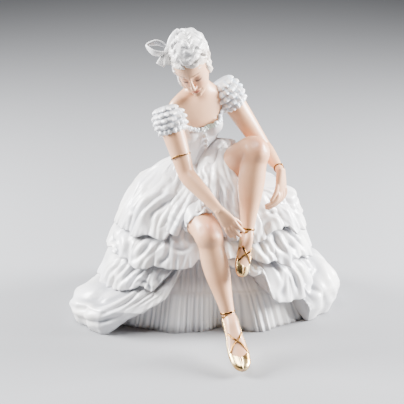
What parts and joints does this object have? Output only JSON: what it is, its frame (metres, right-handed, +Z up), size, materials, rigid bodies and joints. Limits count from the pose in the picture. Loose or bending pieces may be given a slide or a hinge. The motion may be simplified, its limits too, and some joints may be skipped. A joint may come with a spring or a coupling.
{
  "type": "ballerina figurine",
  "caption": "Glazed porcelain figurine of a seated ballerina in a flounced dress, leaning forward to tie the ribbon of her raised gilt slipper.",
  "frame": {"origin": "point of the flat underside under the waist, midway between the sides of the skirt's hem", "axes": "+Z up, the figure faces -Y, her left is +X"},
  "size_m": [0.2141, 0.2034, 0.2336],
  "materials": {
    "glazed_porcelain": "white glazed porcelain",
    "flesh_glaze": "glazed porcelain with a pale flesh tint",
    "gilding": "burnished gilding over glaze"
  },
  "bodies": {
    "root": {"ballerina_figurine": "glazed_porcelain"}
  },
  "joints": []
}
